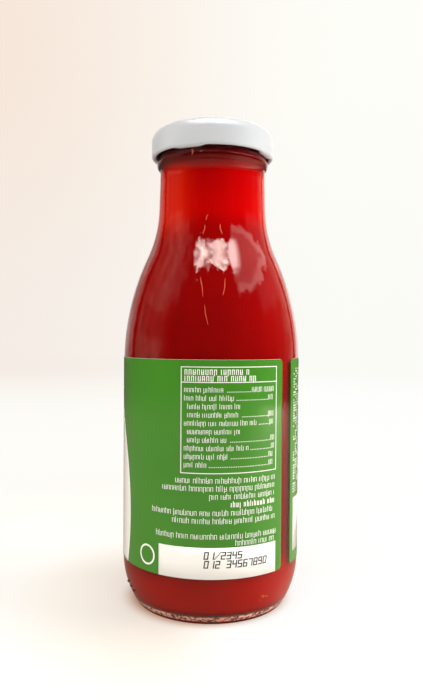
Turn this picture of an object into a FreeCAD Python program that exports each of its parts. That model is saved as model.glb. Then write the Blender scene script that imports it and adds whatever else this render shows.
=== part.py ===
"""A twist-off glass bottle of ketchup, as a parametric FreeCAD document in millimetres.

The bottle stands on its foot ring at z = 0 with its axis on Z, and the side that shows the table on
its label faces -Y. Four pieces touch one another and none of them moves: the glass bottle, the
ketchup that fills it, the pressed tinplate lid and the wrap-around label.

Each piece is half of its section, drawn on the body's own XZ plane and turned about Z, so that in a
sketch x is a radius and y is a height.
"""
import FreeCAD, Part
import math
import os

import Sketcher

# Each row: the alias of the cell, its value (mm, or degrees where the note says so) and a note.
SIZES = [
    ("body_radius", 33.0, "outside radius of the straight wall"),
    ("glass_wall", 2.3, "thickness of the wall of the body"),
    ("heel_height", 17.2, "height at which the heel has curved into the straight wall"),
    ("heel_radius", 31.0, "radius of the heel in section"),
    ("foot_radius", 0.7, "rounding between the heel and the foot ring"),
    ("foot_width", 1.6, "width of the flat ring that the bottle stands on"),
    ("punt_height", 2.5, "rise of the middle of the underside above the foot ring"),
    ("base_wall", 3.2, "thickness of the glass in the middle of the base"),
    ("floor_radius", 135.0, "radius of the domed floor inside"),
    ("inner_corner", 2.5, "rounding between the floor and the wall inside"),
    ("body_length", 71.8, "length of the straight wall"),
    ("shoulder_length", 57.4, "height that the shoulder takes"),
    ("sweep_radius", 46.8, "radius of the hollow curve from the shoulder into the neck"),
    ("neck_length", 16.7, "from the end of the shoulder to the middle of the bead"),
    ("neck_draft", 0.47, "how much the neck's radius shrinks on the way up to the bead"),
    ("neck_inset", 0.18, "how far the foot of the neck lies inside the finish"),
    ("bead_radius", 2.0, "radius of the bead's round section"),
    ("bead_proud", 0.65, "how far the bead stands out of the finish"),
    ("finish_radius", 20.3, "outside radius of the finish, which the lid closes"),
    ("rim_lift", 2.6, "from the middle of the bead up to the lid's rim"),
    ("bore_radius", 17.4, "inside radius of the neck and the mouth"),
    ("lip_radius", 1.1, "rounding of the lip outside, and of the mouth's edge inside"),
    ("thread_count", 4, "number of ridges on the finish, and of lugs on the lid"),
    ("thread_span", 55.0, "turn that one ridge covers, in degrees"),
    ("thread_proud", 0.75, "how far a ridge stands out of the finish"),
    ("thread_rise", 1.5, "height of a ridge where it meets the finish"),
    ("thread_bite", 0.5, "depth of a ridge's root inside the finish"),
    ("thread_gap", 0.2, "clearance between a lug and the ridge above it"),
    ("fill_gap", 0.1, "clearance between the ketchup and the glass"),
    ("fill_depth", 9.0, "level of the ketchup below the lip"),
    ("lid_plate", 0.3, "thickness of the lid's plate"),
    ("lid_height", 10.2, "height of the lid from its rim to its crest"),
    ("lid_corner", 3.0, "outside rounding between the lid's top and its skirt"),
    ("lid_curl", 0.85, "radius of the curled rim's section"),
    ("lid_clearance", 1.0, "clearance between the curled rim and the finish"),
    ("seal_gap", 0.1, "clearance between the lid's plate and the lip"),
    ("panel_inset", 2.0, "how far the edge of the lid's sunk panel lies inside the mouth"),
    ("panel_depth", 0.8, "depth of the lid's sunk panel"),
    ("lug_span", 28.0, "turn that one lug covers, in degrees"),
    ("lug_gap", 0.2, "clearance between a lug and the finish"),
    ("lug_drop", 0.5, "how far a lug hangs below the rim"),
    ("lug_rise", 1.2, "height of a lug's top above the rim"),
    ("lug_turn", 247.0, "direction of the first lug in degrees from +X"),
    ("label_thick", 0.15, "thickness of the label"),
    ("label_glue", 0.02, "film of glue between the label and the glass"),
    ("label_lift", 0.2, "height of the label's lower edge above the end of the heel"),
    ("label_rise", 2.2, "how far the label reaches past the straight wall"),
    ("label_gap", 6.2, "bare glass between the label's two ends"),
    ("label_turn", -31.0, "direction of the label's right-hand end in degrees from +X"),
    ("label_corner", 1.5, "rounding of the label's corners"),
]
SIZE = {alias: value for alias, value, note in SIZES}


def length(*parts, **sizes):
    """A length that is a sum: the sheet's sizes by name, each with how many times it counts."""
    total = {}
    for part in (*parts, sizes):
        for alias, times in part.items():
            total[alias] = total.get(alias, 0) + times
    return total


def formula(total):
    """The sum as an expression on the sheet's cells."""
    return " + ".join(f"{times} * Sizes.{alias}" for alias, times in total.items())


def amount(total):
    """The sum as a number, for the first guess at a sketch's shape."""
    return sum(times * SIZE[alias] for alias, times in total.items())


# Heights and radii that several pieces share.
HEEL_TOP = length(heel_height=1)
BODY_TOP = length(HEEL_TOP, body_length=1)
NECK_FOOT = length(BODY_TOP, shoulder_length=1)
BEAD = length(NECK_FOOT, neck_length=1)
RIM = length(BEAD, rim_lift=1)
CREST = length(RIM, lid_height=1)
LIP = length(CREST, lid_plate=-1, seal_gap=-1)
LEVEL = length(LIP, fill_depth=-1)
LUG_TOP = length(RIM, lug_rise=1)
THREAD_FOOT = length(LUG_TOP, thread_gap=1)
BODY_SIDE = length(body_radius=1)
NECK_SIDE = length(finish_radius=1, neck_inset=-1)
LID_SIDE = length(finish_radius=1, lid_clearance=1, lid_curl=2)

doc = FreeCAD.newDocument("KetchupBottle")


def write_sheet():
    """Put the driving sizes into a spreadsheet: name, value with its alias, note."""
    sheet = doc.addObject("Spreadsheet::Sheet", "Sizes")
    for row, (alias, value, note) in enumerate(SIZES, start=1):
        sheet.set(f"A{row}", alias)
        sheet.set(f"B{row}", str(value))
        sheet.set(f"C{row}", note)
        sheet.setAlias(f"B{row}", alias)
    doc.recompute()


def origin_item(body, role):
    """A plane or an axis of the body's own origin."""
    return next(item for item in body.Origin.OriginFeatures if item.Role == role)


class Section:
    """A closed outline on a body's XZ plane, drawn edge after edge from a first guess.

    Each edge is kept as (geometry, start, end), with start and end the sketcher's numbers for its
    two end points in the direction in which the outline runs.
    """

    FIRST, LAST, MIDDLE = 1, 2, 3
    ORIGIN, ACROSS, UP = -1, -1, -2

    def __init__(self, body, name):
        self.sketch = body.newObject("Sketcher::SketchObject", name)
        self.sketch.AttachmentSupport = [(origin_item(body, "XZ_Plane"), "")]
        self.sketch.MapMode = "FlatFace"
        self.edges = []

    def line(self, start, end):
        """Draw a straight edge between two (x, y) points."""
        shape = Part.LineSegment(FreeCAD.Vector(*start, 0), FreeCAD.Vector(*end, 0))
        self.edges.append((self.sketch.addGeometry(shape, False), self.FIRST, self.LAST))

    def arc(self, centre, radius, start, end):
        """Draw an arc from one angle to another in degrees, either way round."""
        circle = Part.Circle(FreeCAD.Vector(*centre, 0), FreeCAD.Vector(0, 0, 1), radius)
        low, high = sorted((math.radians(start), math.radians(end)))
        index = self.sketch.addGeometry(Part.ArcOfCircle(circle, low, high), False)
        ends = (self.FIRST, self.LAST) if start < end else (self.LAST, self.FIRST)
        self.edges.append((index, *ends))

    def close(self, smooth=()):
        """Join each edge to the next, without a corner after the edges numbered in smooth."""
        for number, (edge, start, end) in enumerate(self.edges):
            after, after_start, after_end = self.edges[(number + 1) % len(self.edges)]
            kind = "Tangent" if number in smooth else "Coincident"
            self.add(kind, edge, end, after, after_start)

    def add(self, kind, *where):
        """Add a constraint and return its number."""
        return self.sketch.addConstraint(Sketcher.Constraint(kind, *where))

    def bind(self, kind, where, total):
        """Add a constraint whose size is a sum on the sheet."""
        index = self.add(kind, *where, amount(total))
        self.sketch.setExpression(f"Constraints[{index}]", formula(total))

    def fix(self, point, x, y):
        """Fix a point of the sketch at a radius and a height; 0 puts it on that axis."""
        for kind, total, axis in (("DistanceX", x, self.UP), ("DistanceY", y, self.ACROSS)):
            if total == 0:
                self.add("PointOnObject", *point, axis)
            elif total is not None:
                self.bind(kind, (self.ORIGIN, self.FIRST, *point), total)

    def place(self, number, x=None, y=None):
        """Fix the start of an edge."""
        self.fix(self.edges[number][:2], x, y)

    def centre(self, number, x=None, y=None):
        """Fix the centre of an arc."""
        self.fix((self.edges[number][0], self.MIDDLE), x, y)

    def radius(self, number, total):
        """Fix the radius of an arc."""
        self.bind("Radius", (self.edges[number][0],), total)

    def level(self, number):
        """Keep a straight edge level."""
        self.add("Horizontal", self.edges[number][0])

    def upright(self, number):
        """Keep a straight edge upright."""
        self.add("Vertical", self.edges[number][0])


def outline(body, name, corners, arcs=None):
    """Draw a section from its corners, each a radius and a height given as sums.

    arcs maps an edge's number to its centre and its first and last angle in degrees, where the edge
    that starts at that corner is an arc.
    """
    arcs = arcs or {}
    section = Section(body, name)
    points = [(amount(x) if x else 0, amount(y)) for x, y in corners]
    for number, point in enumerate(points):
        if number in arcs:
            centre_x, centre_y, start, end = arcs[number]
            middle = (amount(centre_x), amount(centre_y))
            section.arc(middle, math.dist(middle, point), start, end)
        else:
            section.line(point, points[(number + 1) % len(points)])
    section.close()
    for number, (x, y) in enumerate(corners):
        section.place(number, x, y)
    for number, (centre_x, centre_y, start, end) in arcs.items():
        section.centre(number, centre_x)
    return section


def new_body(name):
    """A PartDesign body whose Label names its file."""
    body = doc.addObject("PartDesign::Body", name)
    body.Label = name
    return body


def turn(body, section, name, kind="Revolution", span=None, both_ways=False):
    """Turn a section about Z, all the way round or through a span, as added or cut material."""
    feature = body.newObject(f"PartDesign::{kind}", name)
    feature.Profile = section.sketch
    feature.ReferenceAxis = (section.sketch, ["V_Axis"])
    feature.Angle = 360
    feature.Midplane = both_ways
    if span:
        feature.setExpression("Angle", span)
    doc.recompute()
    return feature


def repeat(body, feature, name):
    """Repeat a feature round Z, once for each thread ridge or lug."""
    pattern = body.newObject("PartDesign::PolarPattern", name)
    pattern.Originals = [feature]
    pattern.Axis = (origin_item(body, "Z_Axis"), [""])
    pattern.Angle = 360
    pattern.setExpression("Occurrences", "Sizes.thread_count")
    body.Tip = pattern
    doc.recompute()


def face_towards(body, alias):
    """Turn a finished body about Z to the direction that a cell gives."""
    body.Placement = FreeCAD.Placement(
        FreeCAD.Vector(), FreeCAD.Rotation(FreeCAD.Vector(0, 0, 1), SIZE[alias])
    )
    body.setExpression("Placement.Rotation.Angle", f"Sizes.{alias} * 1 deg")


def draw_side(section, side, neck, sweep):
    """Draw the straight wall, the shoulder that leans in and the sweep up to the neck.

    The shoulder's arc and the sweep's arc touch halfway up, and both are upright at their far ends.
    With their radii added up to s, a change of radius d over a height h gives s = (d² + h²) / 2d.
    """
    side, neck, sweep = amount(side), amount(neck), amount(sweep)
    heel, low, high = amount(HEEL_TOP), amount(BODY_TOP), amount(NECK_FOOT)
    radii = ((side - neck) ** 2 + (high - low) ** 2) / (2 * (side - neck))
    lean = math.degrees(math.asin((high - low) / radii))
    section.line((side, heel), (side, low))
    section.arc((side - radii + sweep, low), radii - sweep, 0, lean)
    section.arc((neck + sweep, high), sweep, 180 + lean, 180)


def draw_outside(body):
    """The bottle's outside: underside, foot, heel, wall, shoulder, neck, bead, finish and lip."""
    section = Section(body, "Outside")
    side, heel, foot = SIZE["body_radius"], SIZE["heel_radius"], SIZE["foot_radius"]
    high, punt = SIZE["heel_height"], SIZE["punt_height"]
    ring = side - heel + math.sqrt((heel - foot) ** 2 - (high - foot) ** 2)
    ring_inside = ring - SIZE["foot_width"]
    dome = (ring_inside**2 + punt**2) / (2 * punt)
    dome_end = math.degrees(math.acos(ring_inside / dome))
    heel_start = -math.degrees(math.asin((high - foot) / (heel - foot)))
    neck, sweep = amount(NECK_SIDE), length(sweep_radius=1)
    neck_top = neck - SIZE["neck_draft"]
    bead_side = length(finish_radius=1, bead_proud=1, bead_radius=-1)
    bead_x, bead_y, bead_r = amount(bead_side), amount(BEAD), SIZE["bead_radius"]
    finish, lip, lip_y = SIZE["finish_radius"], SIZE["lip_radius"], amount(LIP)
    below = math.acos((neck_top - bead_x) / bead_r)
    above = math.acos((finish - bead_x) / bead_r)
    bead_foot = bead_y - bead_r * math.sin(below)
    bead_top = bead_y + bead_r * math.sin(above)

    section.arc((0, punt - dome), dome, 90, dome_end)
    section.line((ring_inside, 0), (ring, 0))
    section.arc((ring, foot), foot, -90, heel_start)
    section.arc((side - heel, high), heel, heel_start, 0)
    draw_side(section, BODY_SIDE, NECK_SIDE, sweep)
    section.line((neck, amount(NECK_FOOT)), (neck_top, bead_foot))
    section.arc((bead_x, bead_y), bead_r, -math.degrees(below), math.degrees(above))
    section.line((finish, bead_top), (finish, lip_y - lip))
    section.arc((finish - lip, lip_y - lip), lip, 0, 90)
    section.line((finish - lip, lip_y), (0, lip_y))
    section.line((0, lip_y), (0, punt))
    section.close(smooth=(1, 2, 3, 4, 5, 6, 9, 10))

    section.place(0, x=0, y=length(punt_height=1))
    section.centre(0, x=0)
    section.level(1)
    section.place(1, y=0)
    section.bind("Distance", (section.edges[1][0],), length(foot_width=1))
    section.radius(2, length(foot_radius=1))
    section.radius(3, length(heel_radius=1))
    section.upright(4)
    section.place(4, x=BODY_SIDE, y=HEEL_TOP)
    section.place(5, y=BODY_TOP)
    section.radius(6, sweep)
    section.place(7, x=NECK_SIDE, y=NECK_FOOT)
    section.place(8, x=length(NECK_SIDE, neck_draft=-1))
    section.radius(8, length(bead_radius=1))
    section.centre(8, x=bead_side, y=BEAD)
    section.upright(9)
    section.place(9, x=length(finish_radius=1))
    section.radius(10, length(lip_radius=1))
    section.level(11)
    section.place(12, x=0, y=LIP)
    return section


def draw_inside(body, name, top, gap=0, mouth=False):
    """The space inside the glass up to a height, or what fills it at gap times the fill_gap.

    With mouth, the space widens at the top, which rounds the inside of the lip.
    """
    section = Section(body, name)
    side = length(BODY_SIDE, glass_wall=-1, fill_gap=-gap)
    bore = length(bore_radius=1, fill_gap=-gap)
    floor = length(punt_height=1, base_wall=1, fill_gap=gap)
    heel = length(heel_radius=1, glass_wall=-1, fill_gap=-gap)
    corner = length(inner_corner=1, fill_gap=-gap)
    sweep = length(sweep_radius=1, glass_wall=1, fill_gap=gap)
    dome, heel_r, corner_r = SIZE["floor_radius"], amount(heel), amount(corner)
    heel_x, heel_y = SIZE["body_radius"] - SIZE["heel_radius"], SIZE["heel_height"]
    dome_y = amount(floor) - dome
    near_corner = 0.8 * amount(side)
    corner_y = dome_y + math.sqrt(dome**2 - near_corner**2) + corner_r
    reach = math.sqrt((heel_r - corner_r) ** 2 - (heel_y - corner_y) ** 2)
    corner_x = heel_x + reach
    heel_start = -math.degrees(math.atan2(heel_y - corner_y, reach))
    floor_end = math.degrees(math.acos(corner_x / (dome + corner_r)))
    bore_x, foot_y, top_y = amount(bore), amount(NECK_FOOT), amount(top)
    lip = SIZE["lip_radius"] if mouth else 0

    section.arc((0, dome_y), dome, 90, floor_end)
    section.arc((corner_x, corner_y), corner_r, floor_end - 180, heel_start)
    section.arc((heel_x, heel_y), heel_r, heel_start, 0)
    draw_side(section, side, bore, sweep)
    section.line((bore_x, foot_y), (bore_x, top_y - lip))
    if mouth:
        section.arc((bore_x + lip, top_y - lip), lip, 180, 90)
    section.line((bore_x + lip, top_y), (0, top_y))
    section.line((0, top_y), (0, amount(floor)))
    section.close(smooth=(0, 1, 2, 3, 4, 5, 6) if mouth else (0, 1, 2, 3, 4, 5))

    section.place(0, x=0, y=floor)
    section.centre(0, x=0)
    section.radius(0, length(floor_radius=1))
    section.radius(1, corner)
    section.radius(2, heel)
    section.upright(3)
    section.place(3, x=side, y=HEEL_TOP)
    section.place(4, y=BODY_TOP)
    section.radius(5, sweep)
    section.upright(6)
    section.place(6, x=bore, y=NECK_FOOT)
    if mouth:
        section.radius(7, length(lip_radius=1))
        section.place(8, x=length(bore, lip_radius=1))
    section.level(-2)
    section.place(-1, x=0, y=top)
    return section


def make_bottle():
    """The glass: its outside turned solid, the inside cut out of it, and the ridges added."""
    body = new_body("bottle_glass")
    turn(body, draw_outside(body), "Blank")
    full = body.Shape.Volume
    turn(body, draw_inside(body, "Inside", LIP, mouth=True), "Cavity", kind="Groove")
    if body.Shape.Volume > full / 2:
        raise RuntimeError("the cavity wasn't cut")
    root = length(finish_radius=1, thread_bite=-1)
    tip = length(finish_radius=1, thread_proud=1)
    ridge = outline(
        body,
        "RidgeSection",
        [
            (root, THREAD_FOOT),
            (tip, THREAD_FOOT),
            (tip, length(THREAD_FOOT, thread_rise=0.5)),
            (root, length(THREAD_FOOT, thread_rise=1)),
        ],
    )
    span = "Sizes.thread_span"
    repeat(body, turn(body, ridge, "Ridge", span=span, both_ways=True), "Ridges")
    face_towards(body, "lug_turn")
    return body


def make_ketchup():
    """The ketchup, which fills the glass up to a level hidden behind the lid's skirt."""
    body = new_body("ketchup")
    turn(body, draw_inside(body, "Fill", LEVEL, gap=1), "Ketchup")
    return body


def make_lid():
    """The lid: one pressed plate with a sunk panel, a rounded crest, a skirt and a rolled rim.

    A lug is a stretch of the rim that is squeezed inwards, to reach under a ridge of the glass.
    """
    body = new_body("lid")
    mitre = math.tan(math.radians(45) / 2)  # shift of a 45 degree bend per thickness of plate
    panel = length(bore_radius=1, panel_inset=-1)
    panel_in = length(panel, lid_plate=mitre)
    step, step_in = length(panel, panel_depth=1), length(panel_in, panel_depth=1)
    panel_top = length(CREST, panel_depth=-1)
    panel_under, crest_under = length(panel_top, lid_plate=-1), length(CREST, lid_plate=-1)
    corner_x, corner_y = length(LID_SIDE, lid_corner=-1), length(CREST, lid_corner=-1)
    skirt_in = length(LID_SIDE, lid_plate=-1)
    curl_x, curl_y = length(LID_SIDE, lid_curl=-1), length(RIM, lid_curl=1)
    curl_end = length(RIM, lid_curl=2)
    corners = [
        (0, panel_top),
        (panel, panel_top),
        (step, CREST),
        (corner_x, CREST),
        (LID_SIDE, corner_y),
        (LID_SIDE, curl_y),
        (curl_x, curl_end),
        (curl_x, length(curl_end, lid_plate=-1)),
        (skirt_in, curl_y),
        (skirt_in, corner_y),
        (corner_x, crest_under),
        (step_in, crest_under),
        (panel_in, panel_under),
        (0, panel_under),
    ]
    arcs = {
        3: (corner_x, corner_y, 90, 0),
        5: (curl_x, curl_y, 360, 90),
        7: (curl_x, curl_y, 90, 360),
        9: (corner_x, corner_y, 0, 90),
    }
    turn(body, outline(body, "Plate", corners, arcs), "Pressing")
    tip = length(finish_radius=1, lug_gap=1)
    foot = length(RIM, lug_drop=-1)
    lug = outline(
        body,
        "LugSection",
        [(tip, foot), (skirt_in, foot), (skirt_in, LUG_TOP), (tip, LUG_TOP)],
    )
    repeat(body, turn(body, lug, "Lug", span="Sizes.lug_span", both_ways=True), "Lugs")
    face_towards(body, "lug_turn")
    return body


def make_label():
    """The label, wrapped round the straight wall with its two ends a little way apart."""
    body = new_body("label")
    inside = length(BODY_SIDE, label_glue=1)
    outside = length(inside, label_thick=1)
    low, high = length(HEEL_TOP, label_lift=1), length(BODY_TOP, label_rise=1)
    strip = outline(
        body, "Strip", [(inside, low), (outside, low), (outside, high), (inside, high)]
    )
    span = "360 - Sizes.label_gap / Sizes.body_radius * 180 / pi"
    wrap = turn(body, strip, "Wrap", span=span)
    corners = [
        f"Edge{number}"
        for number, edge in enumerate(body.Shape.Edges, start=1)
        if abs(edge.Length - SIZE["label_thick"]) < SIZE["label_glue"]
    ]
    rounding = body.newObject("PartDesign::Fillet", "Corners")
    rounding.Base = (wrap, corners)
    rounding.setExpression("Radius", "Sizes.label_corner")
    face_towards(body, "label_turn")
    return body


def check(bodies):
    """Stop if any object of the document failed or any piece isn't one sound solid."""
    doc.recompute()
    for item in doc.Objects:
        if {"Invalid", "Error"} & set(item.State):
            raise RuntimeError(f"{item.Name} failed: {item.State}")
    for body in bodies:
        shape = body.Shape
        if shape.isNull() or not shape.isValid() or len(shape.Solids) != 1:
            raise RuntimeError(f"{body.Label} isn't one valid solid")


write_sheet()
pieces = [make_bottle(), make_ketchup(), make_lid(), make_label()]
check(pieces)
os.makedirs("parts", exist_ok=True)
for piece in pieces:
    piece.Shape.exportStep(f"parts/{piece.Label}.step")
    box = piece.Shape.BoundBox
    print(
        f"{piece.Label}: {piece.Shape.Volume / 1000:.2f} cm3,",
        f"x {box.XMin:.2f} to {box.XMax:.2f}, z {box.ZMin:.2f} to {box.ZMax:.2f}",
    )
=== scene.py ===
# %% [markdown]
# # A bottle of ketchup, dressed for the camera
#
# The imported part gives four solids: the glass, the ketchup, the lid and the label. Each is
# replaced here by a smooth surface worked out with numpy, in the same place and of the same size.
# Every shape is written in millimetres, as a bottle maker would draw it, and is turned into
# metres only when its mesh is made.

import math

import bpy
import numpy as np
from mathutils import Matrix, Vector


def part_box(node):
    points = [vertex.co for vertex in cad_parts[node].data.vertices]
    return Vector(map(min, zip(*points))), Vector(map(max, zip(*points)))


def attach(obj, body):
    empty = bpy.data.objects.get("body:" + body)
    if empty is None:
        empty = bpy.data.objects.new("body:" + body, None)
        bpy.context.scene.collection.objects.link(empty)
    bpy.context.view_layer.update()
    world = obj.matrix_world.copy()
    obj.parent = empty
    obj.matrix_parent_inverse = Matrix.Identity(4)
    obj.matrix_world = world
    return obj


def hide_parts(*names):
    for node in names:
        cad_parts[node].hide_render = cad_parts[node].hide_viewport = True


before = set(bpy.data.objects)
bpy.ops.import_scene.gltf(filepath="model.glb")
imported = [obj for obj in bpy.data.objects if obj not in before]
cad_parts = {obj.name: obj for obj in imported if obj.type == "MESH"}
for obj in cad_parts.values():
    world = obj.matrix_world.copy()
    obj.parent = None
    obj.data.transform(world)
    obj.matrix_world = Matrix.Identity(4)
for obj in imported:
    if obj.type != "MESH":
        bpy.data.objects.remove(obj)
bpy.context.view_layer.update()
glass_high = np.array(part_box("bottle_glass")[1]) * 1000
fill_high = np.array(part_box("ketchup")[1]) * 1000
lid_low, lid_high = (np.array(corner) * 1000 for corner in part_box("lid"))
label_low, label_high = (np.array(corner) * 1000 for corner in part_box("label"))
print("nodes:", sorted(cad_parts), "height in mm:", round(lid_high[2], 2))

# %% [markdown]
# ## Runs of a profile
#
# A bottle mould is cut on a lathe, so its outline is a chain of straight runs and round corners
# that meet without a kink. Written as arrays of points, one chain gives the glass and, pushed
# inwards, the ketchup in it.

# %% Straight runs, arcs and chains
MM = 0.001
SAME_POINT = 0.02


def run(x0, z0, x1, z1, steps=2):
    """A straight run: both ends are blended, (1 - t) * start + t * end, with t from 0 to 1."""
    t = np.linspace(0, 1, steps)[:, None]
    return (1 - t) * np.array([[x0, z0]]) + t * np.array([[x1, z1]])


def arc(x, z, radius, start, end, steps=12):
    """A round corner: the centre plus radius * (cos t, sin t), t from start to end in degrees."""
    t = np.radians(np.linspace(start, end, steps))
    return np.column_stack([x + radius * np.cos(t), z + radius * np.sin(t)])


def chain(*runs):
    """The runs one after another, with points left out where two runs share an end."""
    points = np.vstack(runs)
    step = np.hypot(*np.diff(points, axis=0).T)
    return points[np.concatenate([[True], step > SAME_POINT])]


def crossing(x0, z0, r0, x1, z1, r1):
    """The right-hand point that is r0 from the first centre and r1 from the second."""
    gap = math.hypot(x1 - x0, z1 - z0)
    along = (r0**2 - r1**2 + gap**2) / (2 * gap)
    aside = math.sqrt(r0**2 - along**2)
    ux, uz = (x1 - x0) / gap, (z1 - z0) / gap
    ends = [(x0 + along * ux - k * aside * uz, z0 + along * uz + k * aside * ux) for k in (1, -1)]
    return max(ends)


def bearing(x0, z0, x1, z1):
    """The direction from the first point to the second, in degrees."""
    return math.degrees(math.atan2(z1 - z0, x1 - x0))


# %% [markdown]
# ## Turning a profile into a mesh
#
# Blender has a Spin tool and a Screw modifier for this. A grid is plainer: one parameter runs
# along the profile, the other goes round the axis. A profile that follows its solid with the
# solid on its left gives faces that all point outwards, and a point on the axis becomes one
# vertex, so that the pole is closed.

# %% The lathe
def quads(*corners):
    """Four-sided faces from four arrays of point numbers, one array for each corner."""
    return list(np.stack(corners, -1).reshape(-1, 4))


def build_mesh(name, points, faces, smooth=True):
    """A mesh of points in millimetres, put into an object that sits at the origin."""
    mesh = bpy.data.meshes.new(name)
    mesh.from_pydata((points * MM).tolist(), [], [face.tolist() for face in faces])
    mesh.validate()
    if smooth:
        mesh.shade_smooth()
    piece = bpy.data.objects.new(name, mesh)
    bpy.context.scene.collection.objects.link(piece)
    print(name, "has", len(mesh.vertices), "points and", len(mesh.polygons), "faces")
    return piece


def turned(name, profile, segments, press=None):
    """A turned surface: point (i, j) is (r_i cos a_j, r_i sin a_j, z_i), a_j = 360 j / segments.

    press takes r, a and z as arrays and gives back r and z, for what isn't round all the way. A
    profile that doesn't reach the axis is closed on itself, as a ring.
    """
    angle = np.arange(segments) * 2 * np.pi / segments
    at_axis = profile[:, 0] < 1e-6
    rings = profile[~at_axis]
    r, a = np.meshgrid(rings[:, 0], angle, indexing="ij")
    z = np.repeat(rings[:, 1:], segments, axis=1)
    if press is not None:
        r, z = press(r, a, z)
    points = np.column_stack([(r * np.cos(a)).ravel(), (r * np.sin(a)).ravel(), z.ravel()])
    index = np.arange(r.size).reshape(r.shape)
    this, after = (index[:-1], index[1:]) if at_axis.any() else (index, np.roll(index, -1, 0))
    faces = quads(this, np.roll(this, -1, 1), np.roll(after, -1, 1), after)
    for end, ring in ((0, index[0]), (-1, index[-1])):
        if at_axis[end]:
            pole = np.full(segments, len(points))
            points = np.vstack([points, [0, 0, profile[end, 1]]])
            ahead = np.roll(ring, -1)
            order = (pole, ahead, ring) if end == 0 else (ring, ahead, pole)
            faces += list(np.stack(order, -1))
    return build_mesh(name, points, faces)


# %% [markdown]
# ## The bottle's outside
#
# From the ground up: a shallow dome under the base, a flat foot ring, a round heel, a straight
# wall for the label, a shoulder that sweeps into the neck, a bead, and the finish that the lid
# grips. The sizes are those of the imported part.

# %% Outline of the glass
WALL_R, WALL_FOOT, WALL_TOP = 33.0, 17.2, 89.0
FOOT_IN, FOOT_OUT, FOOT_ROUND, PUNT = 25.81, 27.41, 0.7, 2.5
HEEL_X, HEEL_R = 2.0, 31.0
SHOULDER_R, SWEEP_R = 94.0, 46.8
NECK_FOOT_R, NECK_FOOT_Z, NECK_TOP_R, NECK_TOP_Z = 20.12, 146.4, 19.65, 161.23
BEAD_X, BEAD_Z, BEAD_R, BEAD_FROM, BEAD_TO = 18.95, 163.1, 2.0, -69.5, 47.5
FINISH_R, BORE_R, LIP_R = 20.3, 17.4, 1.1
LIP_Z = glass_high[2]

neck_lean = bearing(NECK_FOOT_Z, NECK_FOOT_R, NECK_TOP_Z, NECK_TOP_R)
sweep_x = NECK_FOOT_R + SWEEP_R * math.cos(math.radians(neck_lean))
sweep_z = NECK_FOOT_Z - SWEEP_R * math.sin(math.radians(neck_lean))
shoulder_x = WALL_R - SHOULDER_R
shoulder_turn = bearing(shoulder_x, WALL_TOP, sweep_x, sweep_z)
bead_top = BEAD_Z + BEAD_R * math.sin(math.radians(BEAD_TO))
heel_turn = bearing(HEEL_X, WALL_FOOT, FOOT_OUT, FOOT_ROUND)
punt_r = (FOOT_IN**2 + PUNT**2) / (2 * PUNT)
punt_end = math.degrees(math.asin(FOOT_IN / punt_r))

outside = chain(
    [(0.0, PUNT)],
    arc(0, PUNT - punt_r, punt_r, 88, 90 - punt_end, 16),
    arc(FOOT_OUT, FOOT_ROUND, FOOT_ROUND, -90, heel_turn, 7),
    arc(HEEL_X, WALL_FOOT, HEEL_R, heel_turn, 0, 30),
    run(WALL_R, WALL_FOOT, WALL_R, WALL_TOP, 4),
    arc(shoulder_x, WALL_TOP, SHOULDER_R, 0, shoulder_turn, 26),
    arc(sweep_x, sweep_z, SWEEP_R, 180 + shoulder_turn, 180 - neck_lean, 18),
    run(NECK_FOOT_R, NECK_FOOT_Z, NECK_TOP_R, NECK_TOP_Z, 4),
    arc(BEAD_X, BEAD_Z, BEAD_R, BEAD_FROM, BEAD_TO, 14),
    run(FINISH_R, bead_top, FINISH_R, LIP_Z - LIP_R, 30),
    arc(FINISH_R - LIP_R, LIP_Z - LIP_R, LIP_R, 0, 90, 6),
)
print("shoulder turns", round(shoulder_turn, 2), "degrees; heel starts at", round(heel_turn, 1))

# %% [markdown]
# ## The bottle's inside
#
# The inside follows the outside at the wall's thickness, 2.3 mm, with a thicker, slightly domed
# base. The same chain, pushed a little way into the glass, is the ketchup: where sauce wets
# glass there is no air between them, and a piece that ends inside the wall shows just that.

# %% Outline of the hollow
WALL = 2.3
FLOOR_R, FLOOR_DROP, CORNER_R = 135.0, 129.3, 2.5
INNER_SHOULDER_R, INNER_SHOULDER_X = 81.41, -50.71
INNER_SWEEP_R, INNER_SWEEP_X = 49.1, 66.5


def hollow(top, push=0.0):
    """The inside from a height down to the middle of the floor, moved outwards by push."""
    reach = HEEL_R - WALL - CORNER_R
    corner = crossing(0, -FLOOR_DROP, FLOOR_R + CORNER_R, HEEL_X, WALL_FOOT, reach)
    heel_end = bearing(HEEL_X, WALL_FOOT, *corner)
    floor_end = bearing(0, -FLOOR_DROP, *corner)
    turn = bearing(INNER_SHOULDER_X, WALL_TOP, INNER_SWEEP_X, NECK_FOOT_Z)
    bore, wall = BORE_R + push, WALL_R - WALL + push
    return chain(
        run(bore, top, bore, NECK_FOOT_Z, 4),
        arc(INNER_SWEEP_X, NECK_FOOT_Z, INNER_SWEEP_R - push, 180, 180 + turn, 18),
        arc(INNER_SHOULDER_X, WALL_TOP, INNER_SHOULDER_R + push, turn, 0, 26),
        run(wall, WALL_TOP, wall, WALL_FOOT, 4),
        arc(HEEL_X, WALL_FOOT, HEEL_R - WALL + push, 0, heel_end, 20),
        arc(*corner, CORNER_R + push, heel_end, floor_end - 180, 10),
        arc(0, -FLOOR_DROP, FLOOR_R - push, floor_end, 89, 16),
        [(0.0, FLOOR_R - FLOOR_DROP - push)],
    )


lip = arc(BORE_R + LIP_R, LIP_Z - LIP_R, LIP_R, 90, 180, 6)
glass_profile = chain(outside, lip, hollow(LIP_Z - LIP_R))
print("floor of the hollow at", round(FLOOR_R - FLOOR_DROP, 2), "mm")

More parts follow.
